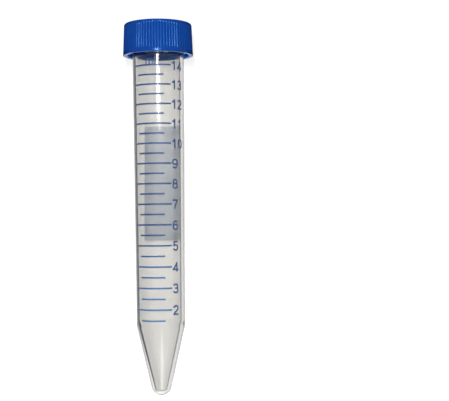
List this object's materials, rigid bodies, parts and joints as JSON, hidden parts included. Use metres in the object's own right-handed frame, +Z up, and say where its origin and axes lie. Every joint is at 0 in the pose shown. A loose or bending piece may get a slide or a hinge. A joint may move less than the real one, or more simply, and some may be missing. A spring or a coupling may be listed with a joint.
{
  "type": "15 ml conical tube",
  "caption": "Clear conical-bottom centrifuge tube with a printed volume scale, writing patch and blue ribbed screw cap, lying at rest.",
  "frame": {"origin": "on the surface that the tube lies on, under the middle of its bounding box", "axes": "+Y along the tube towards the cap, level; the tube's own axis rises 2.4 degrees from +Y because the cap is wider than the body; +Z up, on the side with the scale"},
  "size_m": [0.0226, 0.1204, 0.0227],
  "materials": {
    "clear_plastic": "smooth, slightly hazy clear polypropylene",
    "blue_plastic": "satin moulded blue polyethylene",
    "blue_ink": "thin printed ink",
    "patch_ink": "thin matt printed writing patch"
  },
  "bodies": {
    "tube": {"tube": "clear_plastic"},
    "cap": {"cap": "blue_plastic"}
  },
  "joints": [
    {"name": "cap_lift", "type": "slide", "parent": "tube", "child": "cap", "axis": [0, 0.9991, 0.0418], "range_m": [0, 0.025]}
  ]
}
